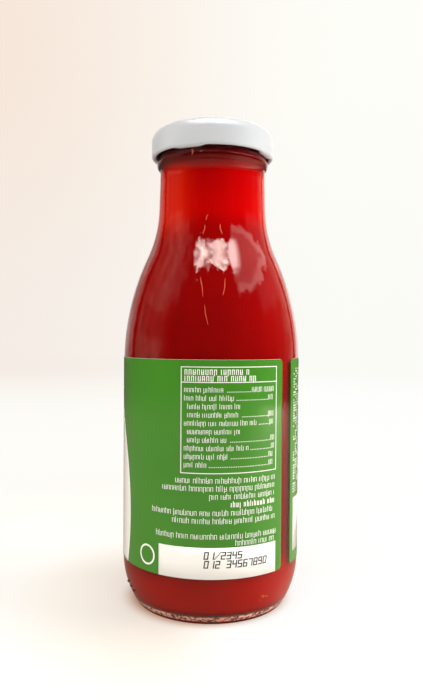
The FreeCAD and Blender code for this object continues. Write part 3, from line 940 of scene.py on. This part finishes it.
# %% Glass
def clear_glass(tree):
    """Refracting glass with a wavy skin, transparent to shadow rays."""
    waves = uneven(tree, 38.0, 0.08, 0.002)
    body = principled(
        tree,
        Base_Color=(0.985, 0.965, 0.935, 1),
        Specular_Tint=(1.0, 0.93, 0.85, 1),
        Roughness=0.0,
        IOR=1.52,
        Transmission_Weight=1.0,
        Normal=uneven(tree, 170.0, 0.5, 0.00015, Normal=waves),
    )
    clear = add(tree, "ShaderNodeBsdfTransparent", {"Color": (0.95, 0.96, 0.955, 1)})
    rays = add(tree, "ShaderNodeLightPath").outputs
    return mixed_shaders(tree, rays["Is Shadow Ray"], body, clear.outputs["BSDF"])


paint([bottle], "clear_glass", clear_glass)

# %% [markdown]
# ### Painted light in the foot
#
# The hatched ring is painted with thin copper bands of light, one above the other, with a black
# line of painted shade where the sauce begins. Dark specks of painted shade break the bands up, as
# the knurls do.

# %% Painted light in the hatching
FOOT_PAINTED_LIGHT_BANDS = (
    (0.0, (0.06, 0.012, 0.010)),
    (0.10, (0.10, 0.025, 0.02)),
    (0.17, (0.95, 0.52, 0.38)),
    (0.36, (0.62, 0.28, 0.20)),
    (0.52, (1.0, 0.62, 0.48)),
    (0.68, (0.70, 0.36, 0.27)),
    (0.78, (0.30, 0.08, 0.055)),
    (0.84, (0.006, 0.003, 0.003)),
    (0.95, (0.006, 0.003, 0.003)),
    (1.0, (0.10, 0.01, 0.008)),
)


def painted_light_hatching(tree):
    """Painted light bands by height between the ring's two edges, under painted dark specks."""
    height = axes_of(tree, own_point(tree))["Z"]
    share = between(tree, height, RING_LOW * MM, RING_HIGH * MM, "LINEAR")
    bands = color_ramp(tree, share, FOOT_PAINTED_LIGHT_BANDS)
    specks = between(tree, mottled(tree, WHITE, WHITE, 900.0, 1.0, "Height"), 0.45, 0.57)
    color = mixed(tree, specks, bands, (0.11, 0.026, 0.018, 1))
    return principled(tree, Base_Color=color, Roughness=0.6)


paint([hatched], "painted_light_hatching", painted_light_hatching)

# %% [markdown]
# ### Ketchup
#
# The sauce is a deep red, and its colour by height carries painted light and shade: a painted
# glow in the narrow neck, where light goes right through, a darker wide body that swallows the
# light, a foot brightened with painted light, a painted orange glow on the neck's left, and
# painted shade, nearly black, under the lid.

# %% Sauce
SAUCE_TOP = 0.17
# Painted light and shade by height: a bright foot, a dark body, a bright neck and a nearly black
# top in the lid's shade.
SAUCE_PAINTED_LIGHT_TONES = (
    (0.0, (0.29, 0.0070, 0.0022)),
    (0.10, (0.23, 0.0028, 0.0012)),
    (0.14, (0.095, 0.0024, 0.0020)),
    (0.46, (0.100, 0.0022, 0.0020)),
    (0.525, (0.16, 0.0022, 0.0020)),
    (0.64, (0.17, 0.0020, 0.0020)),
    (0.76, (0.178, 0.0018, 0.0018)),
    (0.80, (0.190, 0.0012, 0.0014)),
    (0.818, (0.255, 0.0008, 0.0012)),
    (0.842, (0.365, 0.0007, 0.0010)),
    (0.87, (0.375, 0.0008, 0.0010)),
    (0.90, (0.335, 0.0008, 0.0009)),
    (0.931, (0.355, 0.0008, 0.0010)),
    (0.945, (0.165, 0.0008, 0.0010)),
    (0.958, (0.075, 0.0006, 0.0008)),
    (1.0, (0.022, 0.0004, 0.0006)),
)


def tomato_ketchup(tree):
    """Painted light and shade as tones by height up to SAUCE_TOP, mottled, with a painted glow on
    the neck's left.
    """
    point = axes_of(tree, own_point(tree))
    tone = color_ramp(tree, between(tree, point["Z"], 0.0, SAUCE_TOP, "LINEAR"), SAUCE_PAINTED_LIGHT_TONES)
    cloudy = mottled(tree, tone, (0.5, 0.0, 0.0, 1), 26.0, 0.27)
    # A painted orange glow on the neck's left, between the shoulder's sweep and the bead.
    left = between(tree, point["X"], -0.003, -0.014)
    above_sweep = between(tree, point["Z"], 0.130, 0.143)
    below_bead = between(tree, point["Z"], 0.163, 0.158)
    neck_painted_glow = product(tree, left, above_sweep, below_bead, 0.55)
    color = mixed(tree, neck_painted_glow, cloudy, (0.56, 0.016, 0.0010, 1))
    return principled(tree, Base_Color=color, Roughness=0.45, Specular_IOR_Level=0.0)


def plain_skin(tree, color, tint, scale, amount, roughness):
    """A mottled skin with no coat: painted glints, and painted shade in the mould's dots."""
    cloudy = mottled(tree, color, tint, scale, amount)
    return principled(tree, Base_Color=cloudy, Roughness=roughness)


GLINT_ORANGE = (srgb(226, 96, 44), srgb(150, 20, 12), 900.0, 0.9, 0.5)
# The mould's dots get a dark brown skin: painted shade for the dark that small glass dots show.
SHADE = (srgb(52, 22, 18), srgb(20, 8, 8), 400.0, 0.5, 0.3)
paint([ketchup], "tomato_ketchup", tomato_ketchup)
paint([glint_ribbons], "painted_glint_orange", plain_skin, *GLINT_ORANGE)
paint([mould_dots], "shaded_glass", plain_skin, *SHADE)

# %% [markdown]
# ### Enamel and printed paper
#
# The lid's enamel is stoved on: white, smooth, and under a dull coat that spreads reflections.
# The label is paper under a thin glossy varnish, with a faint grain, and each ink on it is the
# same paper in another colour.

# %% Enamel, paper and inks
def white_enamel(tree):
    """Off-white lacquer with a soft coat."""
    color = mottled(tree, srgb(188, 191, 194), srgb(183, 186, 189), 260.0, 0.5)
    return principled(tree, Base_Color=color, Roughness=0.3, Coat_Weight=0.4, Coat_Roughness=0.45)


def coated(tree, color, tint, scale=60.0, amount=0.4):
    """Printed paper under a thin varnish: a mottled colour, a soft sheen and a faint grain."""
    return principled(
        tree,
        Base_Color=mottled(tree, color, tint, scale, amount),
        Roughness=0.42,
        Coat_Weight=1.0,
        Coat_IOR=1.6,
        Coat_Roughness=0.07,
        Specular_IOR_Level=0.25,
        Normal=uneven(tree, 900.0, 0.06, 0.0003),
    )


GREEN = ((0.050, 0.235, 0.010, 1), (0.034, 0.190, 0.010, 1), 34.0, 1.0)
paint([cap], "white_enamel", white_enamel)
paint([label], "green_print", coated, *GREEN)
paint(white_ink, "white_print", coated, srgb(243, 240, 233), srgb(237, 234, 227))
paint([date_marks], "coder_ink", coated, srgb(34, 20, 44), srgb(50, 34, 60))
paint([fruit], "red_print", coated, (0.55, 0.03, 0.02, 1), (0.45, 0.02, 0.015, 1))
paint([crown, bars], "leaf_print", coated, (0.05, 0.22, 0.03, 1), (0.04, 0.18, 0.03, 1))

# %% [markdown]
# ## Floor and surroundings
#
# The bottle stands on a wide pale floor that takes its shadow. Away from the bottle the floor
# turns into the same plain light as the background, so that no horizon shows. A warm painted
# shadow lies close to the foot and, more faintly, on the left, and the floor seen through the
# foot glows with painted light.

# %% Floor
FLOOR_RADIUS = 3000.0
LOW_LEFT, LOW_RIGHT = srgb(245, 237, 229), srgb(251, 251, 246)
HIGH_LEFT, HIGH_RIGHT = srgb(247, 230, 217), srgb(254, 254, 248)
NEAR_LEFT, NEAR_RIGHT = srgb(254, 253, 248), srgb(255, 255, 254)
SIDE_SPAN = (-0.33, 0.20)

floor_rings = np.linspace(1, 0, 24) ** 2 * FLOOR_RADIUS
floor = turned("floor", np.column_stack([floor_rings, np.zeros(24)]), segments=64)


def pale_floor(tree):
    """Matt floor near the bottle, plain light further out, and each kind of ray its own share."""
    point = own_point(tree)
    away = vector_maths(tree, "LENGTH", point)
    aside = axes_of(tree, vector_maths(tree, "NORMALIZE", point))["X"]
    direct, rays = seen_directly(tree)

    # What the bottle and the lid mirror, and what lights them from below.
    sunny = between(tree, aside, 0.6, 0.95)
    mirrored = mixed(tree, sunny, (0.28, 0.24, 0.20, 1), (0.48, 0.42, 0.36, 1))
    far = between(tree, away, 0.25, 0.7)
    bounce = mixed(tree, far, (0.95, 0.93, 0.90, 1), (0.5, 0.48, 0.46, 1))
    unseen = mixed(tree, rays["Is Glossy Ray"], bounce, mirrored)

    # The painted warm shadow: tight round the foot, and wide and faint on the left.
    shifted = vector_maths(tree, "ADD", point, (0.0012, -0.0008, 0))
    reach = vector_maths(tree, "LENGTH", shifted)
    close = maths(tree, "POWER", between(tree, reach, 0.0352, 0.0256), 1.7)
    close = maths(tree, "MULTIPLY", close, rays["Is Camera Ray"])
    painted_contact_shadow = mixed(tree, close, WHITE, (0.61, 0.35, 0.23, 1))
    faint = product(tree, between(tree, away, 0.09, 0.035), between(tree, aside, 0.3, -0.5))
    warm = mixed(tree, faint, (0.93, 0.915, 0.89, 1), (0.78, 0.665, 0.56, 1))
    warm = mixed(tree, 1.0, warm, painted_contact_shadow, "MULTIPLY")
    shown = mixed(tree, direct, unseen, warm)
    matt = add(tree, "ShaderNodeBsdfDiffuse", {"Color": shown}).outputs["BSDF"]

    # The plain light takes over with distance, and sooner on the bright side.
    side = between(tree, aside, *SIDE_SPAN)
    near_color = mixed(tree, side, NEAR_LEFT, NEAR_RIGHT)
    far_color = mixed(tree, side, LOW_LEFT, LOW_RIGHT)
    pale = mixed(tree, between(tree, away, 0.35, 1.7), near_color, far_color)
    pale = mixed(tree, 1.0, pale, painted_contact_shadow, "MULTIPLY")
    least = maths(tree, "MULTIPLY_ADD", between(tree, aside, -0.2, 0.6), 0.32, 0.46)
    lift = maths(tree, "MAXIMUM", between(tree, away, 0.07, 0.27), least)
    open_floor = mixed_shaders(tree, product(tree, direct, lift), matt, glowing(tree, pale))

    # Seen through the foot of the glass, the floor under it glows with painted peach light.
    under = product(tree, between(tree, away, 0.036, 0.028), rays["Is Transmission Ray"])
    return mixed_shaders(tree, under, open_floor, glowing(tree, (0.75, 0.42, 0.30, 1)))


paint([floor], "pale_floor", pale_floor)

# %% [markdown]
# ### The room that the glass mirrors
#
# A bottle is mostly what it reflects, so the world is a dim room. Each direction has a turn,
# 0 in front and growing to the right, and a climb above the horizon, both in degrees. Walls
# go round by turn. Over them lie the windows and a skylight with torn edges, for glossy rays
# only, and the camera sees a plain backdrop instead.

# %% Walls round the room
WARM, COOL = (1.0, 0.82, 0.66), (1.0, 0.95, 0.89)
WALLS = (
    (-180, 0.75, COOL),
    (-150, 0.62, COOL),
    (-127, 0.34, WARM),
    (-124, 0.0, WARM),
    (-119, 0.0, WARM),
    (-116, 0.25, WARM),
    (-96, 0.46, WARM),
    (-74, 0.46, WARM),
    (-60, 0.03, WARM),
    (-40, 0.008, COOL),
    (70, 0.008, COOL),
    (95, 0.05, WARM),
    (112, 0.20, WARM),
    (122, 0.45, WARM),
    (130, 0.65, WARM),
    (134, 0.40, WARM),
    (136, 0.0, WARM),
    (139, 0.02, WARM),
    (142, 1.05, WARM),
    (152, 1.25, COOL),
    (168, 1.10, COOL),
    (180, 0.80, COOL),
)

world = bpy.data.worlds.new("studio")
bpy.context.scene.world = world
world.use_nodes = True
tree = world.node_tree
tree.nodes.clear()
way = add(tree, "ShaderNodeTexCoord").outputs["Generated"]
heading = axes_of(tree, way)
to_front = maths(tree, "MULTIPLY", heading["Y"], -1.0)
turn_angle = maths(tree, "ARCTAN2", heading["X"], to_front)
turn = maths(tree, "DEGREES", turn_angle)
climb = maths(tree, "DEGREES", maths(tree, "ARCSINE", heading["Z"]))
wall_color = color_ramp(
    tree,
    between(tree, turn_angle, -math.pi, math.pi, "LINEAR"),
    [((at + 180) / 360, (np.array(tint) * level).tolist()) for at, level, tint in WALLS],
)
print("the wall goes round in", len(WALLS), "steps")


# %% Fields with soft edges
def span(tree, value, low, high, soft):
    """1 between low and high, with edges as wide as soft."""
    rise = between(tree, value, low - soft / 2, low + soft / 2)
    fall = between(tree, value, high + soft / 2, high - soft / 2)
    return maths(tree, "MULTIPLY", rise, fall)


def field(tree, across, across_span, up, up_span, level=1.0):
    """A four-sided field as bright as level: each span is (low, high, soft)."""
    return product(tree, span(tree, across, *across_span), span(tree, up, *up_span), level)


# A flat ceiling one unit up, where the direction (x, y, z) meets it at (x / z, y / z).
upward = maths(tree, "MAXIMUM", heading["Z"], 0.01)
ceiling_x = maths(tree, "DIVIDE", heading["X"], upward)
ceiling_y = maths(tree, "DIVIDE", to_front, upward)
tear = maths(tree, "SUBTRACT", noise(tree, way, 7.0, 5.0, 0.65), 0.5)
torn_x = maths(tree, "MULTIPLY_ADD", tear, 0.5, ceiling_x)
torn_y = maths(tree, "MULTIPLY_ADD", tear, -0.9, ceiling_y)
torn_climb = maths(tree, "MULTIPLY_ADD", tear, 14.0, climb)
torn_turn = maths(tree, "MULTIPLY_ADD", tear, 60.0, turn)

# %% [markdown]
# The skylight is streaked, as if seen through old glass: its level is noise in ceiling
# coordinates, stretched along a slant. The large pane on the right has a bright lower edge and a
# very bright core, where a lamp stands behind it.

# %% Skylight and windows
STREAK_LEVEL, STREAK_BASE, STREAK_LEAST = 88.0, -32.0, 2.5
SKY_ACROSS, SKY_ALONG = (-0.50, 0.44, 0.10), (0.0, 0.90, 0.10)
PANE_TURN, PANE_CLIMB = (54, 138, 4), (31, 84, 1.5)
SILL_TURN, SILL_CLIMB = (76, 128, 10), (19, 31, 6)
LEFT_TURN, LEFT_CLIMB = (-78, -52, 14), (27, 56, 8)
CORE_TURN, CORE_CLIMB, CORE_WIDE, CORE_TALL, CORE_LEVEL = 44.0, 50.0, 24.0, 11.0, 13.0

slant = maths(tree, "MULTIPLY_ADD", ceiling_y, 0.7, ceiling_x)
streak_place = add(
    tree,
    "ShaderNodeCombineXYZ",
    {"X": product(tree, slant, 1.1), "Y": product(tree, ceiling_y, 2.6)},
).outputs["Vector"]
streaky = noise(tree, streak_place, 3.2, 5.0, 0.7)
streaky = maths(tree, "MULTIPLY_ADD", streaky, STREAK_LEVEL, STREAK_BASE)
streaky = maths(tree, "MAXIMUM", streaky, STREAK_LEAST)
skylight = field(tree, torn_x, SKY_ACROSS, torn_y, SKY_ALONG, streaky)

core_x = maths(tree, "DIVIDE", maths(tree, "SUBTRACT", turn, CORE_TURN), CORE_WIDE)
core_y = maths(tree, "DIVIDE", maths(tree, "SUBTRACT", climb, CORE_CLIMB), CORE_TALL)
squares = [maths(tree, "POWER", value, 2.0) for value in (core_x, core_y)]
core = between(tree, maths(tree, "SQRT", total(tree, *squares)), 1.0, 0.2)
lower_edge = between(tree, torn_climb, 37.5, 34.0)
pane_level = maths(tree, "MULTIPLY_ADD", lower_edge, 1.2, 0.8)
pane_level = maths(tree, "MULTIPLY_ADD", core, CORE_LEVEL, pane_level)
leaning = maths(tree, "MULTIPLY_ADD", climb, 0.35, turn)

at_back = between(tree, maths(tree, "ABSOLUTE", turn), 135, 160)
windows = total(
    tree,
    skylight,
    field(tree, leaning, PANE_TURN, torn_climb, PANE_CLIMB, pane_level),
    field(tree, turn, SILL_TURN, climb, SILL_CLIMB, 0.22),
    field(tree, torn_turn, LEFT_TURN, climb, LEFT_CLIMB, 0.30),
    product(tree, between(tree, climb, 70, 80), 1.5),
    product(tree, at_back, between(tree, climb, 15, 19), 0.35),
)
print("the room has", len(tree.nodes), "nodes so far")

# %% [markdown]
# The walls are patchy, and three fields of them, each a climb, a turn and a share, are dimmed.
# At the end the rays are sorted: lighting and mirrored rays see the room, and rays from the
# camera or through glass see a smooth backdrop that fades from left to right and upwards.

# %% The room, and the backdrop behind it
DIMMED = (
    ((8, 19, 4), (-110, -40, 10), 0.6),
    ((22, 70, 5), (-118, -97, 8), 0.45),
    ((22, 70, 5), (96, 128, 8), 0.55),
)

patch_inputs = {"From Min": 0.35, "From Max": 0.65, "To Min": 0.5, "To Max": 1.5}
patch_inputs["Value"] = noise(tree, way, 5.0, 4.0, 0.6)
patchy = add(tree, "ShaderNodeMapRange", patch_inputs).outputs["Result"]
dimmed = total(tree, *(field(tree, climb, up, turn, wide, by) for up, wide, by in DIMMED))
wall_level = product(tree, patchy, maths(tree, "SUBTRACT", 1.0, dimmed))
lit_walls = add(
    tree, "ShaderNodeVectorMath", {0: wall_color, "Scale": wall_level}, operation="SCALE"
)
direct, rays = seen_directly(tree)
shining = product(tree, windows, rays["Is Glossy Ray"])
room = vector_maths(tree, "ADD", lit_walls.outputs["Vector"], shining)

side = between(tree, heading["X"], *SIDE_SPAN)
up = between(tree, heading["Z"], 0.0, 0.40)
left_color = mixed(tree, up, LOW_LEFT, HIGH_LEFT)
right_color = mixed(tree, up, LOW_RIGHT, HIGH_RIGHT)
backdrop = mixed(tree, side, left_color, right_color)
lights = [
    add(tree, "ShaderNodeBackground", {"Color": color}).outputs["Background"]
    for color in (room, backdrop)
]
add(tree, "ShaderNodeOutputWorld", {"Surface": mixed_shaders(tree, direct, *lights)})
print("the world has", len(tree.nodes), "nodes")

# %% [markdown]
# ## Lamps
#
# Four soft boxes stand 0.7 m from the bottle. They light it without being seen or mirrored,
# because the room above already holds the reflections. A lamp of radiance L and area A gives
# L * pi * A of power.

# %% Lamps
AIM = np.array([0.0, 0.0, 0.11])
LAMP_AWAY = 0.7
LAMPS = (
    ("overhead", -6, 64, 0.54, 0.34, 5.0, (1.0, 0.99, 0.96)),
    ("right_fill", 88, 10, 0.50, 0.40, 11.2, (1.0, 0.99, 0.97)),
    ("left_fill", -84, 24, 0.50, 0.40, 3.1, (1.0, 0.98, 0.95)),
    ("front_fill", -20, 22, 0.60, 0.40, 2.4, (1.0, 0.99, 0.98)),
)


def softbox(name, azimuth, elevation, width, height, radiance, color):
    """A flat lamp that faces AIM from its azimuth and elevation, in degrees."""
    a, e = math.radians(azimuth), math.radians(elevation)
    away = np.array([math.sin(a) * math.cos(e), -math.cos(a) * math.cos(e), math.sin(e)])
    lamp = bpy.data.lights.new(name, "AREA")
    lamp.shape = "RECTANGLE"
    lamp.size = width
    lamp.size_y = height
    lamp.energy = radiance * math.pi * width * height
    lamp.color = color
    holder = bpy.data.objects.new(name, lamp)
    bpy.context.scene.collection.objects.link(holder)
    holder.location = Vector((AIM + away * LAMP_AWAY).tolist())
    holder.rotation_euler = Vector((-away).tolist()).to_track_quat("-Z", "Y").to_euler()
    holder.visible_camera = False
    holder.visible_glossy = False
    print(name, "gives", round(lamp.energy, 2), "W")


for lamp_values in LAMPS:
    softbox(*lamp_values)

# %% [markdown]
# ## Camera
#
# It stands close, a little above half the bottle's height, and tips down by about a degree.
# At this distance the perspective is strong, so the lens and the distance belong together.

# %% Camera
EYE, TIPPED_DOWN, ROLLED = (0.00005, -0.25339, 0.0992), 1.23, 0.377
LENS_MM, SENSOR_MM = 34.07, 36.0

tilt = Matrix.Rotation(math.radians(90 - TIPPED_DOWN), 4, "X")
roll = Matrix.Rotation(math.radians(ROLLED), 4, "Z")
camera_data = bpy.data.cameras.new("camera")
camera_data.sensor_fit = "VERTICAL"
camera_data.sensor_height = SENSOR_MM
camera_data.lens = LENS_MM
camera_data.clip_start = 0.01
camera = bpy.data.objects.new("camera", camera_data)
bpy.context.scene.collection.objects.link(camera)
camera.matrix_world = Matrix.Translation(EYE) @ tilt @ roll
bpy.context.scene.camera = camera
bpy.context.scene.view_settings.view_transform = "Standard"
print("the camera stands", round(-EYE[1] * 1000, 1), "mm in front of the bottle's axis")
